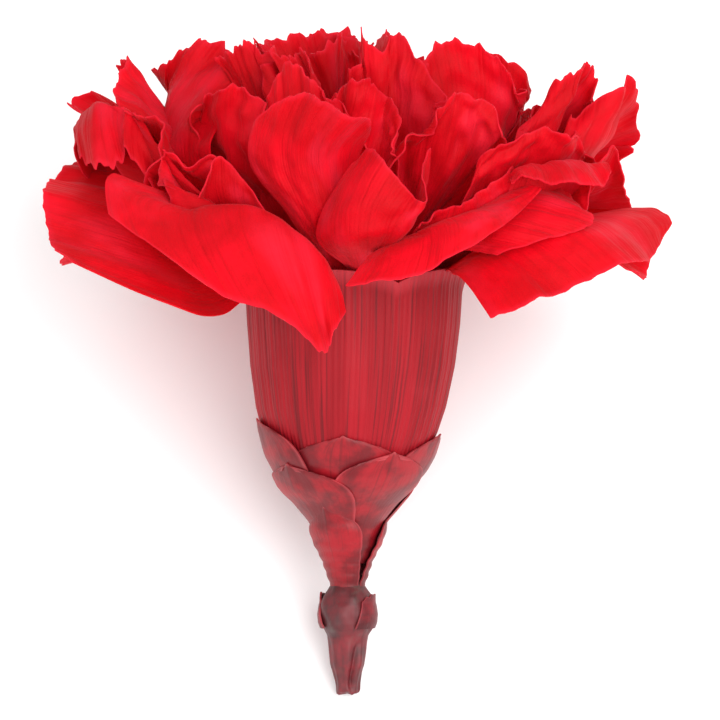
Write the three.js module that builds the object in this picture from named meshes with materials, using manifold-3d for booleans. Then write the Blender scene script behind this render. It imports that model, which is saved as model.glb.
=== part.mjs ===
// A cut carnation: one preserved, dyed flower head on a short stem, lying on its side on a
// flat surface. Millimetres, +Z up. The flower is modelled standing on its cut end, with its
// axis along +Z and its front towards -Y, and a turned group then lays it down, so that it
// rests on the cut end of the stem and on the petals of its back.
import * as THREE from "three";
import { mergeVertices } from "three/addons/utils/BufferGeometryUtils.js";
import Module from "manifold-3d";

// ---------------------------------------------------------------- driving dimensions
const PETALS = 43;
const GOLDEN_ANGLE = 137.5; // degrees between one petal and the next
const FIRST_AZIMUTH = -122; // the outermost petal, to the front left
const HEAD = { x: 0.7, z: 38 }; // centre of the calyx mouth
const MOUTH = { inner: 1.8, outer: 8.8 }; // ring of claws at the calyx mouth
const ROOT = { z: 21.3, inner: 2.3, outer: 4.7 }; // the same ring where the claws are rooted
const PETAL_THICKNESS = 0.3;
const CLAW_WIDTH = { root: 0.8, mouth: 1.8 };
const ROWS_AT = { 2: [0, 0.55, 1], 3: [0, 0.4, 0.72, 1] }; // shares of the blade's length, by rows
const WELD = 0.01; // slivers narrower than this close up where pieces are cut
const CLEARANCE = 0.25; // between pieces that lie against each other
const LEAN_BACK = 30; // degrees between the flower's axis and the surface it lies on
const CUT_END_RADIUS = 1.1; // the stem's cut end, which rests on that surface
const PRESS = 0.5; // how softly petals flatten against the surface
const CALYX = { bottom: 15.2, top: 40.2, wall: 0.7, lobes: 5, lobeHeight: 1.3, lobeAzimuth: -31 };

const degrees = (angle) => (angle * Math.PI) / 180;
const axisX = (z) => HEAD.x * THREE.MathUtils.smoothstep(z, 14, HEAD.z); // the flower leans a little
const mix = (a, b, share) => a + (b - a) * share;
const point = (x, y, z) => new THREE.Vector3(x, y, z);

// ---------------------------------------------------------------- closed surfaces
// A thin closed sheet about a grid of points: rows of equal length, wound right-handed.
function sheet(rows, thickness) {
  const high = rows.length;
  const wide = rows[0].length;
  const at = (j, i) => rows[Math.min(Math.max(j, 0), high - 1)][Math.min(Math.max(i, 0), wide - 1)];
  const skins = [[], []];
  for (let j = 0; j < high; j++) {
    for (let i = 0; i < wide; i++) {
      const across = at(j, i + 1).clone().sub(at(j, i - 1));
      const along = at(j + 1, i).clone().sub(at(j - 1, i));
      const normal = across.cross(along).normalize();
      skins[0].push(rows[j][i].clone().addScaledVector(normal, thickness / 2));
      skins[1].push(rows[j][i].clone().addScaledVector(normal, -thickness / 2));
    }
  }
  const front = (j, i) => j * wide + i;
  const back = (j, i) => high * wide + front(j, i);
  const faces = [];
  const quad = (a, b, c, d) => faces.push(a, b, c, a, c, d);
  for (let j = 0; j < high - 1; j++) {
    for (let i = 0; i < wide - 1; i++) {
      quad(front(j, i), front(j, i + 1), front(j + 1, i + 1), front(j + 1, i));
      quad(back(j, i), back(j + 1, i), back(j + 1, i + 1), back(j, i + 1));
    }
    quad(front(j, wide - 1), back(j, wide - 1), back(j + 1, wide - 1), front(j + 1, wide - 1));
    quad(back(j, 0), front(j, 0), front(j + 1, 0), back(j + 1, 0));
  }
  for (let i = 0; i < wide - 1; i++) {
    quad(front(0, i), back(0, i), back(0, i + 1), front(0, i + 1));
    quad(back(high - 1, i), front(high - 1, i), front(high - 1, i + 1), back(high - 1, i + 1));
  }
  return surface([...skins[0], ...skins[1]], faces);
}

// Rings of equal count joined into one skin. A closed loop of rings makes a thick-walled tube;
// an open one gets a point at each end.
function loft(rings, loop = false) {
  const around = rings[0].length;
  const points = rings.flat();
  const faces = [];
  const last = loop ? rings.length : rings.length - 1;
  for (let j = 0; j < last; j++) {
    const low = j * around;
    const high = ((j + 1) % rings.length) * around;
    for (let i = 0; i < around; i++) {
      const next = (i + 1) % around;
      faces.push(low + i, low + next, high + next, low + i, high + next, high + i);
    }
  }
  if (!loop) {
    for (const [ring, start, turn] of [[rings[0], 0, 1], [rings.at(-1), points.length - around, 0]]) {
      const middle = ring.reduce((sum, p) => sum.add(p), point(0, 0, 0)).divideScalar(around);
      const hub = points.push(middle) - 1;
      for (let i = 0; i < around; i++) {
        const pair = [start + i, start + ((i + 1) % around)];
        faces.push(hub, pair[turn], pair[1 - turn]);
      }
    }
  }
  return surface(points, faces);
}

function surface(points, faces) {
  const geometry = new THREE.BufferGeometry().setFromPoints(points);
  return geometry.setIndex(faces);
}

// ---------------------------------------------------------------- manifold solids
const wasm = await Module();
wasm.setup();

function solidOf(geometry) {
  const bare = geometry.clone();
  bare.deleteAttribute("normal");
  bare.deleteAttribute("uv");
  const merged = mergeVertices(bare, 1e-4);
  return new wasm.Manifold(
    new wasm.Mesh({
      numProp: 3,
      vertProperties: merged.getAttribute("position").array,
      triVerts: new Uint32Array(merged.index.array),
    }),
  );
}

function geometryOf(solid) {
  const mesh = solid.getMesh();
  const geometry = new THREE.BufferGeometry();
  const positions = new Float32Array(mesh.numVert * 3);
  for (let i = 0; i < mesh.numVert; i++) {
    const start = i * mesh.numProp;
    positions.set(mesh.vertProperties.subarray(start, start + 3), i * 3);
  }
  geometry.setAttribute("position", new THREE.BufferAttribute(positions, 3));
  return geometry.setIndex(new THREE.BufferAttribute(mesh.triVerts, 1));
}

// ---------------------------------------------------------------- petals
// The petals that face the front are shaped one by one. Each is a list of rows across the petal,
// each row a list of points from its left end to its right: first its crest, halfway out along
// the blade, and last its margin, the fringed edge. A petal with a deeper fold has a row between.
// The key is the petal's place in the spiral, counted inwards from the outermost.
const SHAPED = {
  0: [
    [
      [-22.3, -12, 50.6], [-18, -14, 48], [-13, -15.5, 47.6], [-8, -16.5, 47.4],
      [-3.8, -16.5, 44.5], [-1.5, -15.5, 41],
    ],
    [
      [-22.4, -15, 46.2], [-18.5, -18.5, 43.9], [-13.5, -21.5, 40.5], [-8.5, -22.5, 38.2],
      [-4, -23, 35.2], [-2.1, -22.5, 33.7], [-1.3, -21.8, 35.6], [0, -20.5, 37.3],
    ],
  ],
  1: [
    [[19, -6, 43.5], [20.5, 0, 44.5], [20, 6, 45], [17, 10, 44]],
    [[25.5, -7, 42], [28.4, -4, 40.4], [29.3, 1, 42], [27.5, 8, 43.5], [24, 13, 43]],
  ],
  3: [
    [[2.5, -15, 43], [7, -17, 45.5], [12, -17, 47], [17, -14, 49.3]],
    [[-0.4, -20, 39.5], [5, -22, 41.2], [10, -21.5, 42.9], [15, -18.5, 46], [18.3, -14.5, 49]],
  ],
  5: [
    [[-17, 2, 49.5], [-18.5, -4, 47], [-17.5, -10.5, 42.5], [-12.6, -15, 37.2]],
    [[-26.2, 4, 51.5], [-28.8, -2, 50.2], [-29, -7, 46], [-28.2, -12, 43]],
  ],
  6: [
    [[10.3, -14, 41], [15, -15, 44.2], [22, -11, 46.3], [28, -3, 47.2]],
    [[14, -22, 36.4], [19, -20.5, 39.3], [25, -17, 41.4], [29, -12.5, 42.5], [31.2, -5, 45.5]],
  ],
  8: [
    [[-5.5, -12.5, 46.5], [-3.5, -13.5, 45.8], [-1.5, -13.5, 46], [0.5, -12.5, 46.5]],
    [[-9.3, -12.5, 52], [-6, -15, 52], [-2.5, -15.5, 52], [1, -13.5, 52]],
    [
      [-8.4, -14.5, 56.4], [-6, -17, 58], [-3.6, -18.5, 58.4], [-0.8, -19, 57.2], [2, -18.5, 56.4],
      [2.4, -16.5, 55],
    ],
  ],
  9: [
    [[15, 1, 48.5], [18, 5, 49.5], [18, 10, 49.5], [15, 15, 48.5]],
    [[18.5, 0, 57], [21, 2, 58.5], [23.5, 5, 58.2], [24.5, 9, 56], [22, 14, 54]],
  ],
  10: [
    [[-14, 9, 49], [-18, 3, 50], [-18.5, -3, 50], [-16, -8.5, 48]],
    [[-26, 2, 55.5], [-25.5, -1, 56.5], [-23.5, -4, 57.2], [-21.3, -5.5, 57.2]],
    [[-26.6, -3, 53.5], [-25.8, -6, 51.9], [-24.2, -8, 50.8], [-22.2, -9.5, 51], [-21.6, -8.5, 53.5]],
  ],
  11: [
    [[11, -15, 43.5], [13.5, -15.5, 46.5], [16.5, -13, 48.7], [18, -10, 49.5]],
    [[14.5, -18.5, 43], [19, -17.5, 44.7], [23.2, -15, 45.8], [22.8, -13, 47.2], [21.4, -11, 48.5]],
  ],
  13: [
    [[-13.5, -10.5, 45], [-12, -12, 46.5], [-10, -13, 46.5], [-8, -13, 45.5]],
    [[-15, -14, 47.6], [-13.2, -15.5, 50.8], [-12, -15.7, 52.4], [-10, -15.5, 50], [-8, -15.5, 47.4]],
  ],
  14: [
    [[19, -9, 46.5], [20.5, -5, 47.5], [21.5, 0, 48], [20.5, 5, 47]],
    [[23, -11, 46.5], [24, -9, 50], [25.5, -6.5, 53.5], [27.2, -4, 50.5], [27.8, 0, 47.5]],
  ],
  15: [
    [[-10, 15, 49.5], [-15.5, 10, 51], [-18, 5, 51.5], [-17, 0, 50.5]],
    [[-22, 10, 56.5], [-25, 6.5, 58.2], [-27, 3, 57.8], [-25, 0, 56.3]],
  ],
  16: [
    [
      [-3, -15, 45], [-0.5, -18, 45.5], [2.5, -19.5, 45.5], [5.3, -18.5, 45], [6.2, -15, 46.5],
      [7, -13.5, 47.5],
    ],
    [
      [0.8, -15.5, 52.6], [2.8, -18, 53], [4.8, -20, 50.5], [7.3, -19.8, 48], [7, -16.5, 50.5],
      [8.1, -14.5, 53.8],
    ],
  ],
  18: [
    [[-14, 2, 51], [-16, -3.5, 50.5], [-15.5, -8, 49.5], [-14, -12, 47.5]],
    [[-21.2, -7, 57.2], [-20, -8.5, 56], [-18.4, -9.5, 55], [-17.7, -10.5, 53], [-18.3, -12, 50.5]],
  ],
  19: [
    [[12, -12.5, 45.5], [15.5, -12.5, 47], [19, -10, 47.5], [21.5, -6.5, 47]],
    [[15, -13, 50.3], [17.5, -13.5, 51.6], [21, -12, 51.8], [24.6, -10, 51.8]],
    [[15.5, -15, 50], [17.6, -16, 50.2], [20.5, -15.5, 49.8], [24.1, -13.5, 49.4], [25.2, -12, 50.6]],
  ],
  21: [
    [[-7, -9, 51], [-5, -10.5, 52], [-3, -11, 52], [-0.5, -10.5, 51]],
    [[-8, -10, 58], [-5.6, -11, 61.7], [-3, -12, 60], [-1.6, -13, 58]],
  ],
  22: [
    [[19, -5, 48.5], [21.5, 1, 50], [21.5, 7, 50], [18, 13, 49]],
    [[22, -2, 56.5], [25.8, 0, 59.3], [27.2, 2.5, 60.4], [28.4, 5, 57.5], [28, 9, 52.5]],
  ],
  23: [
    [[-14, 6, 52.5], [-15.5, 4.5, 53.5], [-16, 2, 53.5], [-15.5, 0, 53]],
    [[-20.5, 6, 58], [-22.6, 3.5, 60.6], [-22.2, 1.5, 61.3], [-22.8, -1.5, 58.5]],
  ],
  24: [
    [[5, -12.5, 43], [8.5, -14, 44], [12.5, -13.5, 45.5], [16, -10.5, 48]],
    [[7, -16.5, 46.2], [10, -16.5, 47.7], [12.8, -15.5, 49], [15.5, -12.5, 51.7]],
  ],
  26: [
    [[-14.5, -6.5, 48.5], [-13.5, -8.5, 49], [-12, -10, 49], [-10.5, -11, 48]],
    [[-18.8, -10.5, 50], [-17.6, -11, 53.7], [-15, -12, 52], [-12.7, -12.5, 52], [-12.5, -12.5, 49]],
  ],
  27: [
    [[13, -10.5, 48.5], [16, -9, 49.5], [18.5, -6.5, 49.5], [20, -3, 48.5]],
    [[14.8, -12.5, 53.7], [18.4, -12, 55.1], [20.9, -11, 55], [22.4, -9, 54], [22.8, -6, 52]],
  ],
  29: [
    [[-1, -9.5, 51.5], [0.5, -10.5, 52], [2.5, -10.5, 52], [4, -10, 51]],
    [
      [-0.6, -12, 59], [0.5, -12.5, 60.1], [2.2, -12, 60], [3.2, -12, 58.3], [4.4, -12.5, 56.5],
      [4.4, -13, 53.5],
    ],
  ],
  30: [
    [[10, 1, 52.5], [14, 2, 54], [16.5, 5, 54], [16, 9, 52.5]],
    [[11, 2, 61.5], [13.5, 2, 62.5], [16.5, 2.5, 61], [18.3, 4, 58], [18, 7, 56]],
  ],
  31: [
    [[-8, 14, 51], [-16, 8, 52.5], [-18, 0, 53], [-13, -6, 52.5]],
    [
      [-12, 14, 58], [-18.8, 6, 59.5], [-17, 4, 62.2], [-13, 2.5, 63.6], [-10, 0.5, 62.2],
      [-8.5, -1.5, 58],
    ],
  ],
  32: [
    [[5.5, -9, 51.5], [8, -10.5, 52.5], [10.5, -10.5, 52.5], [12.5, -9, 51.5]],
    [
      [6.7, -13, 54.5], [7.9, -13.5, 56.6], [9.7, -13.5, 58.7], [11.3, -13, 58.4],
      [13.3, -12.5, 57], [14.6, -12, 54],
    ],
  ],
  34: [
    [[-12.5, -1, 51], [-10.5, -6, 51.5], [-8, -8.5, 51.5], [-4.5, -9.5, 50.5]],
    [[-13.7, -7, 57.8], [-11.8, -8, 59.5], [-9.3, -9, 59.2], [-8.4, -11, 57], [-9, -12, 54.5]],
  ],
  35: [
    [[15, -6, 51.5], [18, -2, 53], [19, 2.5, 53], [17, 8, 51.5]],
    [[18, -4, 57], [21, -3, 60.5], [23.6, -2, 61.2], [24, 0, 58.5], [22.5, 3, 56]],
  ],
  37: [
    [[0.5, -5, 52], [2.5, -5, 53.5], [5, -5.5, 53.5], [7.5, -7.5, 52]],
    [
      [0.7, -5, 61.5], [1.5, -4.5, 64.9], [3.4, -5.5, 63], [4.9, -6, 64.8], [6.6, -7.5, 61.5],
      [8.7, -9.5, 57.3],
    ],
  ],
  39: [
    [[-8, -0.5, 53.5], [-7.7, -1.5, 54.5], [-6.5, -2.5, 55], [-5.5, -3.5, 54]],
    [[-13, -1, 62], [-11, -1.5, 63], [-9.3, -2, 63.7], [-8.3, -3, 61.5]],
  ],
  40: [
    [[8, -4, 53], [11.5, -3, 54], [14, -1, 54], [14.5, 2, 53]],
    [[6.7, -4, 61.5], [9.1, -4.5, 63.8], [12.7, -4, 63], [15, -3, 61.5], [16.5, -1, 59]],
  ],
  42: [
    [[-4.5, -2.5, 54], [-3.5, -3.5, 55], [-2, -4.5, 55], [-1, -5, 53.5]],
    [[-8.1, -3, 61.5], [-7.3, -4, 63.3], [-5.9, -4.5, 62], [-4.4, -4.5, 62.8], [-2.8, -5, 60]],
  ],
};

// The shaped petals that show from side to side. The others go on behind their neighbours.
const WHOLE = [0, 1, 3, 5, 6, 8, 11, 16, 19, 24, 31, 35, 42];
const SHOULDER = {
  spread: 0.4, // how far a petal goes on past each end of its rows, as a share of a row
  leastTurn: 0.25, // radians about the head's axis that a whole row counts for, at least
  fall: 7, // how far its outer corners lie below the row's ends
  narrowing: 0.12, // and how much nearer to the axis
};

// The other petals follow a rule: they lean out less and less towards the middle.
const RULE = {
  leanOut: 84, // degrees from the axis, outermost
  leanIn: 8,
  reachSide: 31, // blade length from the mouth's centre, in a petal that leans out
  reachTop: 26, // and in one that stands
  crestShare: 0.6, // of that length, where the crest lies
  crestWidth: 0.7, // of the half width
  crestLift: 0.15, // of the lean
  halfWidthOut: 16,
  halfWidthIn: 10,
  wave: 6, // degrees that the margin swings
  backLift: 0.05, // share of its lean that a petal at the back loses against the surface
};
const STATIONS = [-1, -1 / 3, 1 / 3, 1];

function ruledPetal(index, azimuth) {
  const inward = (index / (PETALS - 1)) ** 0.9;
  const behind = Math.max(0, Math.sin(degrees(azimuth)));
  const lean = mix(RULE.leanOut, RULE.leanIn, inward) * (1 - RULE.backLift * behind);
  const reach = mix(RULE.reachTop, RULE.reachSide, Math.sin(degrees(lean)));
  const halfWidth = mix(RULE.halfWidthOut, RULE.halfWidthIn, inward);
  const swing = index % 2 ? RULE.wave : -RULE.wave;
  const row = (share, width, drop) =>
    STATIONS.map((s, i) => {
      const polar = degrees(lean - drop + (i % 2 ? swing : -swing) * share ** 2);
      const radius = reach * share * (1 - 0.1 * s * s * share);
      const ring = radius * Math.sin(polar);
      const turn = degrees(azimuth) + (s * width) / Math.max(ring, radius * 0.4);
      return [
        HEAD.x + ring * Math.cos(turn),
        ring * Math.sin(turn),
        HEAD.z + radius * Math.cos(polar),
      ];
    });
  return [row(RULE.crestShare, halfWidth * RULE.crestWidth, RULE.crestLift * lean), row(1, halfWidth, 0)];
}

// Where petal number index sits in the spiral, on a ring between two radii.
function spiralRadius(index, ring) {
  const share = (PETALS - index - 0.5) / PETALS;
  return Math.sqrt(mix(ring.inner ** 2, ring.outer ** 2, share));
}

// A point of a petal, a share u across it and a share v along one vein, from the claw at the
// mouth through each row to the margin. Veins are drawn as radius, azimuth and height about the
// head's axis, so that they go round it and not through it.
function bladePoint(petal, u, v) {
  const start = [petal.radius, petal.azimuth + (u * CLAW_WIDTH.mouth) / 2 / petal.radius, HEAD.z];
  const rows = petal.curves.map((_, n) => rowPoint(petal, n, (u + 1) / 2));
  const [radius, azimuth, z] = through([start, ...rows], ROWS_AT[rows.length], v);
  return pressed(point(HEAD.x + radius * Math.cos(azimuth), radius * Math.sin(azimuth), z));
}

// Where a vein crosses a row. Past both ends of the row the petal's sides turn down and inwards.
function rowPoint(petal, n, across) {
  const curve = petal.curves[n];
  const reach = (n + 1) / petal.curves.length;
  const share = across * (1 + 2 * petal.spread) - petal.spread;
  const on = THREE.MathUtils.clamp(share, 0, 1);
  const [radius, azimuth, z] = roundTheHead(curve.getPoint(on), petal.azimuth);
  const [start, end] = [0, 1].map((at) => roundTheHead(curve.getPoint(at), petal.azimuth)[1]);
  const past = share - on;
  const fall = past === 0 ? 0 : reach * (past / petal.spread) ** 2;
  return [
    radius * (1 - SHOULDER.narrowing * fall),
    azimuth + past * Math.max(Math.abs(end - start), SHOULDER.leastTurn),
    z - SHOULDER.fall * fall,
  ];
}

function roundTheHead(p, near) {
  const azimuth = Math.atan2(p.y, p.x - HEAD.x);
  const turns = Math.round((azimuth - near) / (2 * Math.PI));
  return [Math.hypot(p.x - HEAD.x, p.y), azimuth - turns * 2 * Math.PI, p.z];
}

// A smooth way through every stop, which leaves the first one straight up and which never
// swings past a stop.
function through(stops, knots, v) {
  const last = stops.length - 1;
  const slope = (n) => stops[n].map((value, k) => (value - stops[n - 1][k]) / (knots[n] - knots[n - 1]));
  const slopes = [[0, 0, Math.max(14, 1.2 * (stops[1][2] - HEAD.z)) / knots[1]]];
  for (let n = 1; n < last; n++) {
    const after = slope(n + 1);
    slopes.push(slope(n).map((before, k) => middling(before, after[k])));
  }
  slopes.push(slope(last).map((value, k) => 1.5 * value - 0.5 * slopes[last - 1][k]));
  const n = Math.max(1, knots.findIndex((knot) => knot >= v)) - 1;
  const length = knots[n + 1] - knots[n];
  const tangents = [slopes[n], slopes[n + 1]].map((values) => values.map((value) => value * length));
  return hermite(stops[n], tangents[0], stops[n + 1], tangents[1], (v - knots[n]) / length);
}

function middling(before, after) {
  const gentlest = 2.5 * Math.min(Math.abs(before), Math.abs(after));
  return before * after > 0 ? THREE.MathUtils.clamp((before + after) / 2, -gentlest, gentlest) : 0;
}

function hermite(from, fromTangent, to, toTangent, s) {
  const near = (1 + 2 * s) * (1 - s) ** 2;
  const far = s * s * (3 - 2 * s);
  const leave = s * (1 - s) ** 2;
  const arrive = s * s * (s - 1);
  return from.map((a, n) => near * a + leave * fromTangent[n] + far * to[n] + arrive * toTangent[n]);
}

// Petals that would reach below the surface that the flower lies on flatten against it.
const surfaceNormal = point(0, -Math.cos(degrees(LEAN_BACK)), Math.sin(degrees(LEAN_BACK)));
const surfaceOffset = CUT_END_RADIUS * Math.cos(degrees(LEAN_BACK));

function pressed(p) {
  const height = p.dot(surfaceNormal) + surfaceOffset - PETAL_THICKNESS / 2;
  const flattened = (height + Math.hypot(height, PRESS)) / 2;
  return p.addScaledVector(surfaceNormal, flattened - height);
}

function petalRows(petal) {
  const columns = [-1, -0.5, 0, 0.5, 1];
  const bladeRows = [0, 0.2, 0.4, 0.56, 0.78, 1];
  const claw = columns.map((u) => {
    const turn = petal.azimuth + (u * CLAW_WIDTH.root) / 2 / petal.rootRadius;
    const x = axisX(ROOT.z) + petal.rootRadius * Math.cos(turn);
    return point(x, petal.rootRadius * Math.sin(turn), ROOT.z);
  });
  return [claw, ...bladeRows.map((v) => columns.map((u) => bladePoint(petal, u, v)))];
}

function makePetals() {
  const made = [];
  for (let index = 0; index < PETALS; index++) {
    const degreesRound = FIRST_AZIMUTH + index * GOLDEN_ANGLE;
    const rows = SHAPED[index] ?? ruledPetal(index, degreesRound);
    const curve = (row) =>
      new THREE.CatmullRomCurve3(row.map((p) => point(...p)), false, "catmullrom", 0.5);
    made.push({
      index,
      azimuth: degrees(degreesRound),
      radius: spiralRadius(index, MOUTH),
      rootRadius: spiralRadius(index, ROOT),
      spread: index in SHAPED && !WHOLE.includes(index) ? SHOULDER.spread : 0,
      curves: rows.map(curve),
    });
  }
  return made;
}

// Where two petals would run into each other, the later one gives way.
function trimmed(petals) {
  const placed = [];
  for (const petal of petals) {
    const rows = petalRows(petal);
    const whole = solidOf(sheet(rows, PETAL_THICKNESS));
    let solid = whole;
    for (const other of placed) {
      if (overlapping(solid.boundingBox(), other.zone.boundingBox())) {
        solid = solid.subtract(other.zone);
      }
    }
    placed.push({
      petal,
      solid: largestBody(solid),
      zone: solidOf(sheet(rows, PETAL_THICKNESS + 2 * CLEARANCE)).add(whole),
    });
  }
  return placed;
}

function largestBody(solid) {
  const largest = (body) => body.decompose().reduce((a, b) => (b.volume() > a.volume() ? b : a));
  return largest(solidOf(geometryOf(largest(solid.simplify(WELD)))));
}

function overlapping(a, b) {
  return [0, 1, 2].every((n) => a.min[n] < b.max[n] && b.min[n] < a.max[n]);
}

// ---------------------------------------------------------------- calyx, bracts, stem
// Outer radius of the calyx at each height, and below it of the stem inside the bracts.
const CORE = [
  [10.3, 1.3], [13, 1.4], [15.2, 1.75], [16.9, 2.5], [18.8, 4], [20.3, 5.6], [21.7, 6.7], [23.3, 7.6],
  [25.6, 8.5], [28, 9.2], [32, 9.9], [36, 10.3], [41, 10.6], [45, 10.9],
];

function valueAt(table, x) {
  const n = Math.max(1, table.findIndex(([key]) => key >= x));
  const [from, to] = [table[n - 1], table[n]];
  return mix(from[1], to[1], THREE.MathUtils.clamp((x - from[0]) / (to[0] - from[0]), 0, 1));
}

function ringAt(z, radius, sides, height = () => 0, swell = () => 0) {
  return Array.from({ length: sides }, (_, i) => {
    const azimuth = (2 * Math.PI * i) / sides;
    const r = radius + swell(azimuth);
    return point(axisX(z) + r * Math.cos(azimuth), r * Math.sin(azimuth), z + height(azimuth));
  });
}

function calyxGeometry() {
  const { bottom, top, wall, lobes, lobeHeight, lobeAzimuth } = CALYX;
  const sides = lobes * 6;
  const lobe = (azimuth) => {
    const turns = ((azimuth - degrees(lobeAzimuth)) * lobes) / (2 * Math.PI);
    const fromTip = 2 * Math.abs(turns - Math.round(turns));
    return lobeHeight * (Math.sqrt(1 - 0.75 * fromTip ** 2) - 1) / 0.5;
  };
  const heights = [16.2, 17.8, 19.3, 21.5, 24, 27, 31, 35];
  const outer = heights.map((z) => ringAt(z, valueAt(CORE, z), sides));
  const inner = heights.map((z) => ringAt(z + 0.4, valueAt(CORE, z) - wall, sides));
  const rim = [-0.2, -wall / 2, -wall].map((inset, n) =>
    ringAt(top + lobeHeight - 0.3 * Math.abs(n - 1), valueAt(CORE, top) + inset + 0.3, sides, lobe),
  );
  const foot = ringAt(bottom, valueAt(CORE, bottom), sides);
  return loft([foot, ...outer, ...rim, ...inner.reverse()]);
}

// Scale leaves clasp the calyx's base in pairs, each pair crossing the one above and over it.
const BRACTS = [
  { azimuth: -128, base: 10.9, tip: 18.2, halfTurn: 58, layer: 4 },
  { azimuth: 4, base: 10.9, tip: 17.8, halfTurn: 40, layer: 4 },
  { azimuth: -122, base: 11.9, tip: 22, halfTurn: 50, layer: 3 },
  { azimuth: 50, base: 11.9, tip: 21.8, halfTurn: 50, layer: 3 },
  { azimuth: -60, base: 12.9, tip: 23.8, halfTurn: 47, layer: 2 },
  { azimuth: 118, base: 12.9, tip: 23.5, halfTurn: 47, layer: 2 },
  { azimuth: -166, base: 13.9, tip: 26.8, halfTurn: 46, layer: 1 },
  { azimuth: -16, base: 13.9, tip: 25.3, halfTurn: 44, layer: 1 },
  { azimuth: -95, base: 14.9, tip: 25.4, halfTurn: 50, layer: 0 },
  { azimuth: 82, base: 14.9, tip: 25.6, halfTurn: 50, layer: 0 },
];
const LAYER = 0.33; // between one pair of bracts and the next
const BRACT_GAP = 0.3; // from the calyx's surface to the middle of the innermost pair
const BRACT_THICKNESS = 0.16;
const BRACT_BASES = [14.9, 13.9, 12.9, 11.9, 10.9]; // by layer, from the innermost

function bractOffset(layer, z) {
  const beneath = BRACT_BASES.slice(0, layer);
  const lifted = beneath.map((base) => THREE.MathUtils.smoothstep(z, base - 1, base - 0.2));
  return BRACT_GAP + LAYER * lifted.reduce((sum, share) => sum + share, 0);
}

function bractGeometry({ azimuth, base, tip, halfTurn, layer }) {
  const rows = [0, 0.22, 0.44, 0.64, 0.82, 0.96].map((v) => {
    const width = mix(1.25, 1, Math.min(1, v / 0.5)) * (1 - v ** 4) ** 0.5;
    return [-1, -0.67, -0.33, 0, 0.33, 0.67, 1].map((u) => {
      const spike = 0.5 * Math.max(0, 1 - 3 * Math.abs(u)) * v ** 6;
      const z = mix(base, tip, v) + spike - 0.6 * u * u * v ** 2;
      const turn = degrees(azimuth + u * halfTurn * Math.max(width, 0.1));
      const r = valueAt(CORE, z) + bractOffset(layer, z);
      return point(axisX(z) + r * Math.cos(turn), r * Math.sin(turn), z);
    });
  });
  return sheet(rows, BRACT_THICKNESS);
}

// The stem: its cut end, the ribbed length above it, the swollen node, and the part in the bracts.
const STEM = [
  [0, CUT_END_RADIUS], [1.2, 1.15], [2.4, 1.4], [3.6, 1.7], [5.2, 1.85], [5.9, 2], [6.4, 2.35],
  [7.1, 2.65], [7.9, 2.75], [8.8, 2.65], [9.6, 2.35], [10.2, 1.95], [10.8, 1.5], [12, 1.3], [14.9, 1.3],
];
const STEM_SIDES = 24;
const STEM_RIBS = { count: 8, depth: 0.07, end: 7 };

function stemGeometry() {
  const rings = STEM.map(([z, radius]) => {
    const depth = z > 0 && z < STEM_RIBS.end ? STEM_RIBS.depth : 0;
    return ringAt(z, radius, STEM_SIDES, () => 0, (azimuth) => depth * Math.cos(STEM_RIBS.count * azimuth));
  });
  return loft(rings);
}

// Dry bases of the node's pair of leaves, with ragged upper edges.
const LEAF_STUBS = [
  { azimuth: -28, top: 10.4, halfTurn: 52 },
  { azimuth: 150, top: 10, halfTurn: 60 },
];
const RAGGED = [0, 0.3, -0.3, 0.35, 0.1, -0.5];

function leafStubGeometry({ azimuth, top, halfTurn }) {
  const rows = [0, 0.25, 0.5, 0.75, 1].map((v) =>
    [-1, -0.6, -0.2, 0.2, 0.6, 1].map((u, i) => {
      const z = mix(6.6, top, v) + v * RAGGED[i];
      const turn = degrees(azimuth + u * halfTurn * (1 - 0.3 * v));
      const r = valueAt(STEM, Math.min(z, 9.2)) + 0.3;
      return point(r * Math.cos(turn), r * Math.sin(turn), z);
    }),
  );
  return sheet(rows, BRACT_THICKNESS);
}

// Inside: the receptacle that carries the claws, the ovary on it, and its two styles.
const OVARY = [
  [17.5, 0.8], [18.4, 1.8], [19.6, 2.9], [20.7, 4.1], [21, 4.4], [21.01, 1.5], [24, 1.75],
  [27.5, 1.6], [30, 1.1], [30.6, 0.8],
];
const STYLE = { from: 30.9, to: 47, radius: 0.32 };

function styleGeometry(side) {
  const rings = [0, 0.15, 0.35, 0.55, 0.75, 0.9, 1].map((v) => {
    const z = mix(STYLE.from, STYLE.to, v);
    const x = axisX(z) + side * (0.42 + 0.55 * v ** 2);
    const r = STYLE.radius * (1 - 0.5 * v);
    return Array.from({ length: 6 }, (_, i) => {
      const turn = (2 * Math.PI * i) / 6;
      return point(x + r * Math.cos(turn), r * Math.sin(turn), z);
    });
  });
  return loft(rings);
}

// ---------------------------------------------------------------- the part
const flower = new THREE.Group();
flower.name = "flower";

function add(name, geometry, colour, roughness) {
  const material = new THREE.MeshStandardMaterial({ color: colour, roughness, metalness: 0 });
  const mesh = new THREE.Mesh(geometry, material);
  mesh.name = name;
  flower.add(mesh);
}

const COLOURS = {
  petal: 0xd80e28,
  calyx: 0xa82530,
  bract: 0x9c2029,
  stem: 0x5b2a22,
  leaf: 0xa3252b,
  heart: 0xc45a60,
};

add("stem", stemGeometry(), COLOURS.stem, 0.75);
LEAF_STUBS.forEach((stub, n) => add(`leaf_stub_${n + 1}`, leafStubGeometry(stub), COLOURS.leaf, 0.6));
BRACTS.forEach((bract, n) => add(`bract_${n + 1}`, bractGeometry(bract), COLOURS.bract, 0.5));
add("ovary", loft(OVARY.map(([z, r]) => ringAt(z, r, 16))), COLOURS.heart, 0.7);
[-1, 1].forEach((side, n) => add(`style_${n + 1}`, styleGeometry(side), COLOURS.heart, 0.7));

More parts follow.
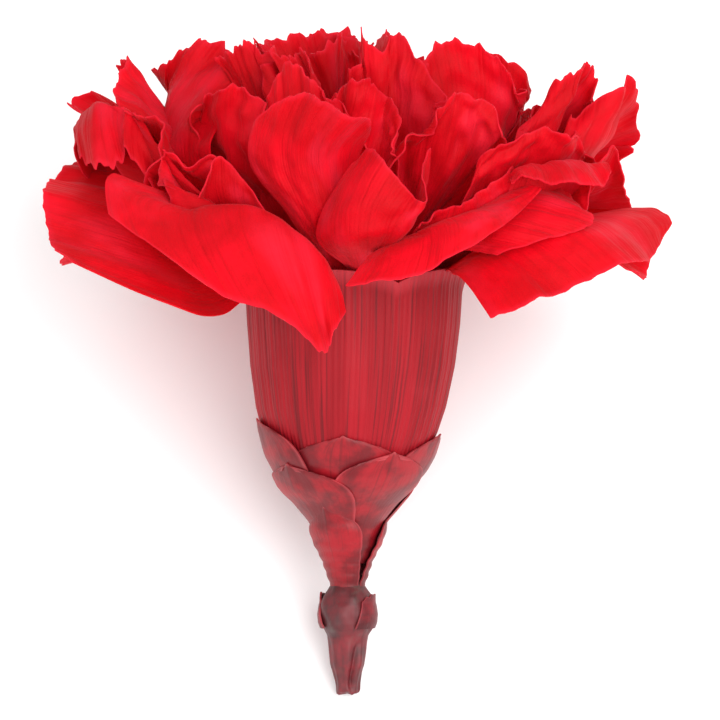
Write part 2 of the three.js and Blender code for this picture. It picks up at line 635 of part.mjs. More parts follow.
const petals = makePetals();
const firstShaped = [...petals].sort((a, b) => (a.index in SHAPED ? 0 : 1) - (b.index in SHAPED ? 0 : 1));
let calyx = solidOf(calyxGeometry());
for (const { petal, solid, zone } of trimmed(firstShaped)) {
  const name = `petal_${String(petal.index + 1).padStart(2, "0")}`;
  add(name, geometryOf(solid), COLOURS.petal, 0.7);
  calyx = calyx.subtract(zone); // its rim gives way to the petals that lean over it
}
add("calyx", geometryOf(largestBody(calyx)), COLOURS.calyx, 0.5);

// Lay the flower down on its back and centre it over the origin.
flower.rotation.x = degrees(LEAN_BACK) - Math.PI / 2;
flower.updateMatrixWorld(true);
const box = new THREE.Box3().setFromObject(flower, true);
const part = new THREE.Group();
part.name = "cut_carnation";
flower.position.set(-(box.min.x + box.max.x) / 2, -(box.min.y + box.max.y) / 2, -box.min.z);
part.add(flower);
part.updateMatrixWorld(true);

export default part;
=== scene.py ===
# %% [markdown]
# # A cut carnation, laid down
# A carnation head is a cup of joined sepals, the calyx, packed with forty-odd petals. Below it
# scale leaves clasp the calyx's foot, and a short stem ends in a swollen node and a dry cut.
# The solid model already settles where every piece is. Here each one gets its fine shape:
# thin frilled petals, a ribbed calyx, a knobbly stem, and then its finish.

# %% The fixed frame
import math
import random

import bpy
import numpy as np
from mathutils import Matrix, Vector


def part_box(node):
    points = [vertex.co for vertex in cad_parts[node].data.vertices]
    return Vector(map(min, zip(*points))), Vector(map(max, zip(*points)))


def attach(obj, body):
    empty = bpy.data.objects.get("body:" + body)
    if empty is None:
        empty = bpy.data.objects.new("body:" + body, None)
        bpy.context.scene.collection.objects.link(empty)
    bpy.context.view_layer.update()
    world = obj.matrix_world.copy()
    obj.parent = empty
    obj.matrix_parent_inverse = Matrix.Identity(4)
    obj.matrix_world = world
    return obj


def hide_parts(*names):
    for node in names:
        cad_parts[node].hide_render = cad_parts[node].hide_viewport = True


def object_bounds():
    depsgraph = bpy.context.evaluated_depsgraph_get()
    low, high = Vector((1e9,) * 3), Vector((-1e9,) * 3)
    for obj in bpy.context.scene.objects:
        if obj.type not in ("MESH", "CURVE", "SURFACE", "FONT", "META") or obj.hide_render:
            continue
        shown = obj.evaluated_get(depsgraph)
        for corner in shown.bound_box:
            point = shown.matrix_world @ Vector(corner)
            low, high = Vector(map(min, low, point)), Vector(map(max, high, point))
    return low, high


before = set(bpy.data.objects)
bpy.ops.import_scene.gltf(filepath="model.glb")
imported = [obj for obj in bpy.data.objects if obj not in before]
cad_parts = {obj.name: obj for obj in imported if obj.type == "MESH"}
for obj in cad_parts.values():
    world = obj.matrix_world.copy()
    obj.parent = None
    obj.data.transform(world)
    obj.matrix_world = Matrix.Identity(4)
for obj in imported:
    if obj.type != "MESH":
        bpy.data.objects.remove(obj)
cad_bounds = [list(corner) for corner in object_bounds()]
bpy.ops.object.select_all(action="DESELECT")
print("solid model:", cad_bounds)

# %% [markdown]
# ## The flower's own frame
# A flower is easiest to shape standing on its stem, in millimetres: the axis along Z and the
# front towards -Y. The finished flower lies on its back, so every point is turned back about
# the X axis and shifted by what the stem's box says about its cut end.

# %% From the standing flower to the lying one
LEAN_BACK = math.radians(30)  # between the flower's axis and the surface
CUT_END_RADIUS = 1.1
MM = 0.001
PETAL_THICKNESS = 0.14
SCALE_THICKNESS = 0.16
CALYX_THICKNESS = 0.5
SHEET_CREASE = 50  # degrees: sharper turns than this stay sharp
stem_low, stem_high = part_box("stem")
CUT_END = np.array([
    (stem_low[0] + stem_high[0]) / 2,
    stem_low[1] + CUT_END_RADIUS * math.sin(LEAN_BACK) * MM,
    stem_low[2] + CUT_END_RADIUS * math.cos(LEAN_BACK) * MM,
])
ACROSS = np.array([1, 0, 0])
BACK = np.array([0, math.sin(LEAN_BACK), -math.cos(LEAN_BACK)])
ALONG = np.array([0, math.cos(LEAN_BACK), math.sin(LEAN_BACK)])


def laid(points):
    """Points of the standing flower in millimetres, as points of the lying one in metres."""
    x, y, z = np.moveaxis(np.asarray(points, float), -1, 0)
    turned = x[..., None] * ACROSS + y[..., None] * BACK + z[..., None] * ALONG
    return CUT_END + turned * MM


print("middle of the cut end:", CUT_END)

# %% [markdown]
# ## A sheet from a grid
# Petals, scale leaves and stubs are all thin sheets. Each starts as a grid primitive, whose
# own UV map then says for every point how far across and how far along the sheet it is. The
# points are moved into place in code, because no bend or lattice gives such a free shape, and
# a Solidify modifier gives the sheet its two faces and its edge.

# %% Helpers for sheets
def select_only(obj):
    bpy.ops.object.select_all(action="DESELECT")
    obj.select_set(True)
    bpy.context.view_layer.objects.active = obj


def points_of(obj):
    flat = np.empty(len(obj.data.vertices) * 3)
    obj.data.vertices.foreach_get("co", flat)
    return flat.reshape(-1, 3)


def grid(name, columns, rows):
    """A grid of that many points, and for each point its share across and along."""
    bpy.ops.mesh.primitive_grid_add(
        x_subdivisions=columns - 1, y_subdivisions=rows - 1, size=2, calc_uvs=True
    )
    obj = bpy.context.object
    obj.name = obj.data.name = name
    points = points_of(obj)
    return obj, (points[:, 0] + 1) / 2, (points[:, 1] + 1) / 2


def place(obj, points):
    obj.data.vertices.foreach_set("co", np.ascontiguousarray(points, float).ravel())
    obj.data.update()


def apply(obj, kind, **settings):
    """Adds a modifier of that kind and applies it."""
    select_only(obj)
    modifier = obj.modifiers.new(kind.title(), kind)
    for key, value in settings.items():
        setattr(modifier, key, value)
    bpy.ops.object.modifier_apply(modifier=modifier.name)


def finish_sheet(obj, thickness, nodes, finish):
    """Gives a placed sheet its thickness, and makes it stand for its solid."""
    apply(obj, "SOLIDIFY", thickness=thickness * MM, offset=0, use_even_offset=False)
    select_only(obj)
    bpy.ops.object.shade_smooth_by_angle(angle=math.radians(SHEET_CREASE))
    finish_piece(obj, nodes, finish)


def finish_piece(obj, nodes, finish):
    obj.data.materials.clear()
    obj.data.materials.append(finish)
    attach(obj, "root")
    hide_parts(*nodes)


# %% [markdown]
# ## Writing a finish
# A finish is a small graph of nodes. Wrapping a socket in a class lets its maths be written
# as plain expressions, and one method adds any other node with its settings and inputs.

# %% The socket wrapper
class Wire:
    def __init__(self, finish, socket):
        self.finish = finish
        self.socket = socket

    def _math(self, operation, a, b, clamp=False):
        settings = {"operation": operation, "use_clamp": clamp}
        return self.finish.node("ShaderNodeMath", settings, {0: a, 1: b})

    def __add__(self, other):
        return self._math("ADD", self, other)

    def __sub__(self, other):
        return self._math("SUBTRACT", self, other)

    def __rsub__(self, other):
        return self._math("SUBTRACT", other, self)

    def __mul__(self, other):
        return self._math("MULTIPLY", self, other)

    __radd__ = __add__
    __rmul__ = __mul__

    def clamped(self):
        return self._math("ADD", self, 0, clamp=True)

    def absolute(self):
        return self._math("ABSOLUTE", self, 0)


class Finish:
    def __init__(self, name):
        self.material = bpy.data.materials.new(name)
        self.material.use_nodes = True
        self.tree = self.material.node_tree
        self.shader = self.tree.nodes["Principled BSDF"]
        self.output = self.tree.nodes["Material Output"]

    def node(self, kind, settings=None, inputs=None, output=0):
        made = self.tree.nodes.new(kind)
        for key, value in (settings or {}).items():
            setattr(made, key, value)
        for key, value in (inputs or {}).items():
            self._feed(made.inputs[key], value)
        return Wire(self, made.outputs[output])

    def _feed(self, socket, value):
        if isinstance(value, Wire):
            self.tree.links.new(value.socket, socket)
        else:
            socket.default_value = value

    def set(self, **inputs):
        for key, value in inputs.items():
            self._feed(self.shader.inputs[key.replace("_", " ")], value)

    def mix(self, share, a, b):
        return self.node("ShaderNodeMix", {"data_type": "RGBA"}, {0: share, 6: a, 7: b}, output=2)

    def uv(self, across=1, along=1):
        """The piece's own UV map, stretched, so that a pattern follows the sheet."""
        place_on = self.node("ShaderNodeUVMap", {"uv_map": "UVMap"})
        return self.node("ShaderNodeMapping", inputs={0: place_on, 3: (across, along, 1)})

    def across_along(self):
        place_on = self.node("ShaderNodeUVMap", {"uv_map": "UVMap"})
        split = self.tree.nodes.new("ShaderNodeSeparateXYZ")
        self.tree.links.new(place_on.socket, split.inputs[0])
        return Wire(self, split.outputs[0]), Wire(self, split.outputs[1])

    def solid(self):
        return self.node("ShaderNodeTexCoord", output=3)

    def noise(self, where, scale, detail=2, roughness=0.5):
        inputs = {"Vector": where, "Scale": scale, "Detail": detail, "Roughness": roughness}
        return self.node("ShaderNodeTexNoise", inputs=inputs)

    def band(self, value, low, high):
        """0 below low, 1 above high, and smooth between."""
        inputs = {0: value, 1: low, 2: high}
        return self.node("ShaderNodeMapRange", {"interpolation_type": "SMOOTHSTEP"}, inputs)

    def bump(self, height, distance, strength=1.0):
        inputs = {"Height": height, "Distance": distance, "Strength": strength}
        return self.node("ShaderNodeBump", inputs=inputs)


def rgb(red, green, blue):
    """A colour given as screen values from 0 to 255."""
    shares = [value / 255 for value in (red, green, blue)]
    linear = [((v + 0.055) / 1.055) ** 2.4 if v > 0.04 else v / 12.92 for v in shares]
    return (*linear, 1)


# %% [markdown]
# ## The petals' finish
# A petal is dyed through, so its colour is deep, but it is only a seventh of a millimetre thick:
# light passes through it and its shadows glow. A Translucent shader mixed in gives that, and a
# little sheen gives the pale bloom of its velvety skin. Fine veins fan out from the claw. They
# follow the petal's own UV map, as does the claw's fading to pink.

# %% Petal finish
def petal_finish():
    finish = Finish("petal_red")
    across, along = finish.across_along()
    veins = finish.noise(finish.uv(34, 1.2), 1.0, detail=3, roughness=0.6)
    broad = finish.noise(finish.solid(), 140, detail=4, roughness=0.6)
    blush = finish.noise(finish.uv(3, 2), 1.0, detail=3, roughness=0.6)
    colour = finish.mix(finish.band(broad, 0.35, 0.68), rgb(196, 0, 18), rgb(228, 2, 30))
    colour = finish.mix(finish.band(veins, 0.48, 0.72) * 0.6, colour, rgb(180, 0, 14))
    colour = finish.mix(finish.band(blush, 0.46, 0.7) * 0.55, colour, rgb(236, 40, 66))
    edge = finish.band(along, 0.975, 1.0)
    colour = finish.mix(edge * 0.3, colour, rgb(245, 50, 78))
    claw = 1 - finish.band(along, 0.1, 0.22)
    colour = finish.mix(claw * 0.75, colour, rgb(236, 150, 150))
    crepe = finish.noise(finish.solid(), 900, detail=3, roughness=0.6)
    height = finish.noise(finish.uv(60, 3), 1.0, detail=2) * 0.6 + crepe * 0.4
    normal = finish.bump(height, 0.0003, 0.85)
    finish.set(Base_Color=colour, Roughness=0.62, Normal=normal, IOR=1.4, Specular_IOR_Level=0.22)
    finish.set(Sheen_Weight=0.13, Sheen_Roughness=0.45, Sheen_Tint=rgb(255, 150, 165))
    through = finish.node("ShaderNodeBsdfTranslucent", inputs={0: rgb(242, 12, 30)})
    surface = Wire(finish, finish.shader.outputs[0])
    both = finish.node("ShaderNodeMixShader", inputs={0: 0.36, 1: surface, 2: through})
    finish.tree.links.new(both.socket, finish.output.inputs[0])
    return finish.material


PETAL_FINISH = petal_finish()

# %% [markdown]
# ## Where each petal goes
# Petals spiral inwards by the golden angle, each on its claw, the narrow strip that runs down
# inside the calyx. Most are shaped one by one, by a few points along the crest of the petal
# and a few along its fringed margin, from its left to its right. Some have a row between. The
# others follow one rule, and lean out less and less towards the middle. These are the same
# places that the solid model's petals have.

# %% The petals' places
PETALS = 43
GOLDEN_ANGLE = 137.5
FIRST_AZIMUTH = -122
HEAD = (0.7, 0, 38)  # the middle of the calyx mouth
MOUTH = (1.8, 8.8)  # the ring of claws at the mouth, inner and outer radius
ROOT = (2.3, 4.7)  # and where they are rooted
ROOT_HEIGHT = 21.3
CLAW_WIDTH = (0.8, 1.8)
CREST_AT = 0.55
PRESS = 0.5
FLOOR_GAP = 0.15

SHAPED = {
    0: (
        [
            (-22.3, -12, 50.6), (-18, -14, 48), (-13, -15.5, 47.6), (-8, -16.5, 47.4),
            (-3.8, -16.5, 44.5), (-1.5, -15.5, 41),
        ],
        [
            (-22.4, -15, 46.2), (-18.5, -18.5, 43.9), (-13.5, -21.5, 40.5), (-8.5, -22.5, 38.2),
            (-4, -23, 35.2), (-2.1, -22.5, 33.7), (-1.3, -21.8, 35.6), (0, -20.5, 37.3),
        ],
    ),
    1: (
        [(19, -6, 43.5), (20.5, 0, 44.5), (20, 6, 45), (17, 10, 44)],
        [(25.5, -7, 42), (28.4, -4, 40.4), (29.3, 1, 42), (27.5, 8, 43.5), (24, 13, 43)],
    ),
    3: (
        [(2.5, -15, 43), (7, -17, 45.5), (12, -17, 47), (17, -14, 49.3)],
        [(-0.4, -20, 39.5), (5, -22, 41.2), (10, -21.5, 42.9), (15, -18.5, 46), (18.3, -14.5, 49)],
    ),
    5: (
        [(-17, 2, 49.5), (-18.5, -4, 47), (-17.5, -10.5, 42.5), (-12.6, -15, 37.2)],
        [(-26.2, 4, 51.5), (-28.8, -2, 50.2), (-29, -7, 46), (-28.2, -12, 43)],
    ),
    6: (
        [(10.3, -14, 41), (15, -15, 44.2), (22, -11, 46.3), (28, -3, 47.2)],
        [(14, -22, 36.4), (19, -20.5, 39.3), (25, -17, 41.4), (29, -12.5, 42.5), (31.2, -5, 45.5)],
    ),
    8: (
        [(-5.5, -12.5, 46.5), (-3.5, -13.5, 45.8), (-1.5, -13.5, 46), (0.5, -12.5, 46.5)],
        [(-9.3, -12.5, 52), (-6, -15, 52), (-2.5, -15.5, 52), (1, -13.5, 52)],
        [
            (-8.4, -14.5, 56.4), (-6, -17, 58), (-3.6, -18.5, 58.4), (-0.8, -19, 57.2),
            (2, -18.5, 56.4), (2.4, -16.5, 55),
        ],
    ),
    9: (
        [(15, 1, 48.5), (18, 5, 49.5), (18, 10, 49.5), (15, 15, 48.5)],
        [(18.5, 0, 57), (21, 2, 58.5), (23.5, 5, 58.2), (24.5, 9, 56), (22, 14, 54)],
    ),
    10: (
        [(-14, 9, 49), (-18, 3, 50), (-18.5, -3, 50), (-16, -8.5, 48)],
        [(-26, 2, 55.5), (-25.5, -1, 56.5), (-23.5, -4, 57.2), (-21.3, -5.5, 57.2)],
        [
            (-26.6, -3, 53.5), (-25.8, -6, 51.9), (-24.2, -8, 50.8), (-22.2, -9.5, 51),
            (-21.6, -8.5, 53.5),
        ],
    ),
    11: (
        [(11, -15, 43.5), (13.5, -15.5, 46.5), (16.5, -13, 48.7), (18, -10, 49.5)],
        [
            (14.5, -18.5, 43), (19, -17.5, 44.7), (23.2, -15, 45.8), (22.8, -13, 47.2),
            (21.4, -11, 48.5),
        ],
    ),
    13: (
        [(-13.5, -10.5, 45), (-12, -12, 46.5), (-10, -13, 46.5), (-8, -13, 45.5)],
        [
            (-15, -14, 47.6), (-13.2, -15.5, 50.8), (-12, -15.7, 52.4), (-10, -15.5, 50),
            (-8, -15.5, 47.4),
        ],
    ),
    14: (
        [(19, -9, 46.5), (20.5, -5, 47.5), (21.5, 0, 48), (20.5, 5, 47)],
        [(23, -11, 46.5), (24, -9, 50), (25.5, -6.5, 53.5), (27.2, -4, 50.5), (27.8, 0, 47.5)],
    ),
    15: (
        [(-10, 15, 49.5), (-15.5, 10, 51), (-18, 5, 51.5), (-17, 0, 50.5)],
        [(-22, 10, 56.5), (-25, 6.5, 58.2), (-27, 3, 57.8), (-25, 0, 56.3)],
    ),
    16: (
        [
            (-3, -15, 45), (-0.5, -18, 45.5), (2.5, -19.5, 45.5), (5.3, -18.5, 45),
            (6.2, -15, 46.5), (7, -13.5, 47.5),
        ],
        [
            (0.8, -15.5, 52.6), (2.8, -18, 53), (4.8, -20, 50.5), (7.3, -19.8, 48),
            (7, -16.5, 50.5), (8.1, -14.5, 53.8),
        ],
    ),
    18: (
        [(-14, 2, 51), (-16, -3.5, 50.5), (-15.5, -8, 49.5), (-14, -12, 47.5)],
        [
            (-21.2, -7, 57.2), (-20, -8.5, 56), (-18.4, -9.5, 55), (-17.7, -10.5, 53),
            (-18.3, -12, 50.5),
        ],
    ),
    19: (
        [(12, -12.5, 45.5), (15.5, -12.5, 47), (19, -10, 47.5), (21.5, -6.5, 47)],
        [(15, -13, 50.3), (17.5, -13.5, 51.6), (21, -12, 51.8), (24.6, -10, 51.8)],
        [
            (15.5, -15, 50), (17.6, -16, 50.2), (20.5, -15.5, 49.8), (24.1, -13.5, 49.4),
            (25.2, -12, 50.6),
        ],
    ),
    21: (
        [(-7, -9, 51), (-5, -10.5, 52), (-3, -11, 52), (-0.5, -10.5, 51)],
        [(-8, -10, 58), (-5.6, -11, 61.7), (-3, -12, 60), (-1.6, -13, 58)],
    ),
    22: (
        [(19, -5, 48.5), (21.5, 1, 50), (21.5, 7, 50), (18, 13, 49)],
        [(22, -2, 56.5), (25.8, 0, 59.3), (27.2, 2.5, 60.4), (28.4, 5, 57.5), (28, 9, 52.5)],
    ),
    23: (
        [(-14, 6, 52.5), (-15.5, 4.5, 53.5), (-16, 2, 53.5), (-15.5, 0, 53)],
        [(-20.5, 6, 58), (-22.6, 3.5, 60.6), (-22.2, 1.5, 61.3), (-22.8, -1.5, 58.5)],
    ),
    24: (
        [(5, -12.5, 43), (8.5, -14, 44), (12.5, -13.5, 45.5), (16, -10.5, 48)],
        [(7, -16.5, 46.2), (10, -16.5, 47.7), (12.8, -15.5, 49), (15.5, -12.5, 51.7)],
    ),
    26: (
        [(-14.5, -6.5, 48.5), (-13.5, -8.5, 49), (-12, -10, 49), (-10.5, -11, 48)],
        [
            (-18.8, -10.5, 50), (-17.6, -11, 53.7), (-15, -12, 52), (-12.7, -12.5, 52),
            (-12.5, -12.5, 49),
        ],
    ),
    27: (
        [(13, -10.5, 48.5), (16, -9, 49.5), (18.5, -6.5, 49.5), (20, -3, 48.5)],
        [(14.8, -12.5, 53.7), (18.4, -12, 55.1), (20.9, -11, 55), (22.4, -9, 54), (22.8, -6, 52)],
    ),
    29: (
        [(-1, -9.5, 51.5), (0.5, -10.5, 52), (2.5, -10.5, 52), (4, -10, 51)],
        [
            (-0.6, -12, 59), (0.5, -12.5, 60.1), (2.2, -12, 60), (3.2, -12, 58.3),
            (4.4, -12.5, 56.5), (4.4, -13, 53.5),
        ],
    ),
    30: (
        [(10, 1, 52.5), (14, 2, 54), (16.5, 5, 54), (16, 9, 52.5)],
        [(11, 2, 61.5), (13.5, 2, 62.5), (16.5, 2.5, 61), (18.3, 4, 58), (18, 7, 56)],
    ),
    31: (
        [(-8, 14, 51), (-16, 8, 52.5), (-18, 0, 53), (-13, -6, 52.5)],
        [
            (-12, 14, 58), (-18.8, 6, 59.5), (-17, 4, 62.2), (-13, 2.5, 63.6), (-10, 0.5, 62.2),
            (-8.5, -1.5, 58),
        ],
    ),
    32: (
        [(5.5, -9, 51.5), (8, -10.5, 52.5), (10.5, -10.5, 52.5), (12.5, -9, 51.5)],
        [
            (6.7, -13, 54.5), (7.9, -13.5, 56.6), (9.7, -13.5, 58.7), (11.3, -13, 58.4),
            (13.3, -12.5, 57), (14.6, -12, 54),
        ],
    ),
    34: (
        [(-12.5, -1, 51), (-10.5, -6, 51.5), (-8, -8.5, 51.5), (-4.5, -9.5, 50.5)],
        [(-13.7, -7, 57.8), (-11.8, -8, 59.5), (-9.3, -9, 59.2), (-8.4, -11, 57), (-9, -12, 54.5)],
    ),
    35: (
        [(15, -6, 51.5), (18, -2, 53), (19, 2.5, 53), (17, 8, 51.5)],
        [(18, -4, 57), (21, -3, 60.5), (23.6, -2, 61.2), (24, 0, 58.5), (22.5, 3, 56)],
    ),
    37: (
        [(0.5, -5, 52), (2.5, -5, 53.5), (5, -5.5, 53.5), (7.5, -7.5, 52)],
        [
            (0.7, -5, 61.5), (1.5, -4.5, 64.9), (3.4, -5.5, 63), (4.9, -6, 64.8),
            (6.6, -7.5, 61.5), (8.7, -9.5, 57.3),
        ],
    ),
    39: (
        [(-8, -0.5, 53.5), (-7.7, -1.5, 54.5), (-6.5, -2.5, 55), (-5.5, -3.5, 54)],
        [(-13, -1, 62), (-11, -1.5, 63), (-9.3, -2, 63.7), (-8.3, -3, 61.5)],
    ),
    40: (
        [(8, -4, 53), (11.5, -3, 54), (14, -1, 54), (14.5, 2, 53)],
        [(6.7, -4, 61.5), (9.1, -4.5, 63.8), (12.7, -4, 63), (15, -3, 61.5), (16.5, -1, 59)],
    ),
    42: (
        [(-4.5, -2.5, 54), (-3.5, -3.5, 55), (-2, -4.5, 55), (-1, -5, 53.5)],
        [(-8.1, -3, 61.5), (-7.3, -4, 63.3), (-5.9, -4.5, 62), (-4.4, -4.5, 62.8), (-2.8, -5, 60)],
    ),
}


def mix(a, b, share):
    return a + (b - a) * share


def smooth(x, low, high):
    share = np.clip((x - low) / (high - low), 0, 1)
    return share * share * (3 - 2 * share)


def ruled_petal(index, azimuth):
    inward = (index / (PETALS - 1)) ** 0.9
    lean = mix(84, 8, inward) * (1 - 0.05 * max(0, math.sin(math.radians(azimuth))))
    reach = mix(26, 31, math.sin(math.radians(lean)))
    half_width = mix(16, 10, inward)
    swing = 6 if index % 2 else -6

    def row(share, width, drop):
        points = []
        for i, s in enumerate((-1, -1 / 3, 1 / 3, 1)):
            polar = math.radians(lean - drop + (swing if i % 2 else -swing) * share**2)
            radius = reach * share * (1 - 0.1 * s * s * share)
            ring = radius * math.sin(polar)
            turn = math.radians(azimuth) + s * width / max(ring, radius * 0.4)
            x = HEAD[0] + ring * math.cos(turn)
            points.append((x, ring * math.sin(turn), HEAD[2] + radius * math.cos(polar)))
        return points

    return row(0.6, half_width * 0.7, 0.15 * lean), row(1, half_width, 0)


def along_curve(points, share):
    """A Catmull-Rom curve through the points, at each share of its way."""
    points = np.asarray(points, float)
    ends = (2 * points[0] - points[1], 2 * points[-1] - points[-2])
    padded = np.vstack([ends[0], points, ends[1]])
    whole = np.minimum((share * (len(points) - 1)).astype(int), len(points) - 2)
    s = (share * (len(points) - 1) - whole)[:, None]
    before, near, far, after = (padded[whole + n] for n in range(4))
    return hermite(near, (far - before) / 2, far, (after - near) / 2, s)


def hermite(near, leaving, far, arriving, s):
    a = (1 + 2 * s) * (1 - s) ** 2
    return a * near + s * (1 - s) ** 2 * leaving + (1 - a) * far + s * s * (s - 1) * arriving


def round_the_head(points, azimuth):
    """Points as radius, azimuth and height about the head's axis, near that azimuth."""
    x, y = points[:, 0] - HEAD[0], points[:, 1]
    turn = np.arctan2(y, x)
    turn -= 2 * math.pi * np.round((turn - azimuth) / (2 * math.pi))
    return np.stack([np.hypot(x, y), turn, points[:, 2]], axis=1)


def ring_radius(index, ring):
    share = (PETALS - index - 0.5) / PETALS
    return math.sqrt(mix(ring[0] ** 2, ring[1] ** 2, share))


SURFACE_NORMAL = np.array([0, -math.cos(LEAN_BACK), math.sin(LEAN_BACK)])


def pressed(points):
    """Points that would go below the surface are flattened against it."""
    height = points @ SURFACE_NORMAL + CUT_END_RADIUS * math.cos(LEAN_BACK) - FLOOR_GAP
    lift = (height + np.hypot(height, PRESS)) / 2 - height
    return points + lift[..., None] * SURFACE_NORMAL


# %% [markdown]
# ## One petal
# A vein starts on the claw, rises past the calyx's rim, bends over the crest and ends at the
# margin, so it is a chain of Hermite curves, one from each row to the next. Across
# the veins the margin swings in ruffles, tighter and deeper towards the edge, and the edge
# itself is cut into small uneven teeth.

# %% The petal's surface
CLAW_SHARE = 0.16  # of the sheet's length
ROOT_X = 0.16  # where the leaning axis passes the roots
WHOLE = (0, 1, 3, 5, 6, 8, 11, 16, 19, 24, 31, 35, 42)  # shaped petals that end at their rows
SPREAD = 0.4  # how far the other shaped petals go on past their rows, as shares of a row
LEAST_TURN = 0.25  # radians that a row counts as at least, where they go on
SHOULDER_FALL = 7
SHOULDER_NARROWING = 0.12
TEETH = 0.034  # of the blade's length
FOLDS = {  # where across the petal, how wide, and how far it stands out in millimetres
    0: ((0.37, 0.05, 0.9), (0.5, 0.09, -0.9), (0.78, 0.05, 0.6)),
    1: ((0.4, 0.08, 0.7), (0.65, 0.06, -0.6)),
    3: ((0.35, 0.07, 0.6), (0.7, 0.08, -0.6)),
    5: ((0.25, 0.06, 0.7), (0.5, 0.1, -0.9), (0.75, 0.07, 0.5)),
    6: ((0.3, 0.06, 0.6), (0.55, 0.1, -0.8), (0.8, 0.06, 0.6)),
    8: ((0.35, 0.08, -0.5), (0.7, 0.1, 0.6)),
    16: ((0.3, 0.08, 0.7), (0.55, 0.06, -0.9)),
    27: ((0.4, 0.1, -0.8), (0.75, 0.06, 0.5)),
}
SMOOTH_EDGED = (0, 1, 3, 5, 6, 8, 11, 13, 16, 19, 24)


def petal_points(index, across, along):
    azimuth = math.radians(FIRST_AZIMUTH + index * GOLDEN_ANGLE)
    draw = random.Random(index)
    u = 2 * across - 1
    rows = SHAPED.get(index) or ruled_petal(index, FIRST_AZIMUTH + index * GOLDEN_ANGLE)
    mouth = ring_radius(index, MOUTH)
    root = ring_radius(index, ROOT)
    flat = np.ones_like(u)
    start = np.stack([mouth * flat, azimuth + u * CLAW_WIDTH[1] / 2 / mouth, HEAD[2] * flat], axis=1)
    claw = np.stack([root * flat, azimuth + u * CLAW_WIDTH[0] / 2 / root, ROOT_HEIGHT * flat], axis=1)
    spread = SPREAD if index in SHAPED and index not in WHOLE else 0
    stops = [start]
    for n, row in enumerate(rows, 1):
        stops.append(with_shoulders(row, across, azimuth, spread, n / len(rows)))
    knots = [0, CREST_AT, 1] if len(rows) == 2 else [0, 0.4, 0.72, 1]
    blade = np.clip((along - CLAW_SHARE) / (1 - CLAW_SHARE), 0, 1)
    teeth = sum(
        size * np.abs(((across * count + draw.random()) % 1) * 2 - 1)
        for size, count in ((0.6, draw.uniform(9, 13)), (0.4, draw.uniform(17, 23)))
    )
    corner = 0.04 * np.abs(u) ** 8
    depth = TEETH * (0.3 if index in SMOOTH_EDGED else 1 + 1.2 * max(0, index / PETALS - 0.5))
    v = blade * (1 - depth * teeth * blade**6 - corner)
    polar = through(stops, knots, v)
    in_claw = along < CLAW_SHARE
    polar[in_claw] = mix(claw, start, (along / CLAW_SHARE)[:, None])[in_claw]
    middle = mix(ROOT_X, HEAD[0], np.clip(along / CLAW_SHARE, 0, 1))
    x = middle + polar[:, 0] * np.cos(polar[:, 1])
    return np.stack([x, polar[:, 0] * np.sin(polar[:, 1]), polar[:, 2]], axis=1), v


def with_shoulders(row, across, azimuth, spread, reach):
    """A row continued past both its ends, where the petal's sides turn down and inwards."""
    share = across * (1 + 2 * spread) - spread
    polar = round_the_head(along_curve(row, np.clip(share, 0, 1)), azimuth)
    past = share - np.clip(share, 0, 1)
    ends = round_the_head(along_curve(row, np.array([0.0, 1.0])), azimuth)
    polar[:, 1] += past * max(abs(ends[1, 1] - ends[0, 1]), LEAST_TURN)
    fall = (past / spread) ** 2 if spread else np.zeros_like(past)
    polar[:, 2] -= SHOULDER_FALL * reach * fall
    polar[:, 0] *= 1 - SHOULDER_NARROWING * reach * fall
    return polar


def through(stops, knots, v):
    """A smooth way from the mouth through each stop, that starts straight up."""
    slopes = [np.zeros_like(stops[0])]
    slopes[0][:, 2] = np.maximum(14, 1.2 * (stops[1][:, 2] - HEAD[2])) / knots[1]
    for n in range(1, len(stops) - 1):
        before = (stops[n] - stops[n - 1]) / (knots[n] - knots[n - 1])
        after = (stops[n + 1] - stops[n]) / (knots[n + 1] - knots[n])
        gentlest = np.minimum(np.abs(before), np.abs(after)) * 2.5
        middling = np.clip((before + after) / 2, -gentlest, gentlest)
        slopes.append(np.where(before * after > 0, middling, 0))
    last = (stops[-1] - stops[-2]) / (knots[-1] - knots[-2])
    slopes.append(1.5 * last - 0.5 * slopes[-1])
    points = stops[0].copy()
    for n in range(len(stops) - 1):
        length = knots[n + 1] - knots[n]
        share = np.clip((v - knots[n]) / length, 0, 1)[:, None]
        piece = hermite(stops[n], slopes[n] * length, stops[n + 1], slopes[n + 1] * length, share)
        points = np.where((v >= knots[n])[:, None], piece, points)
    return points


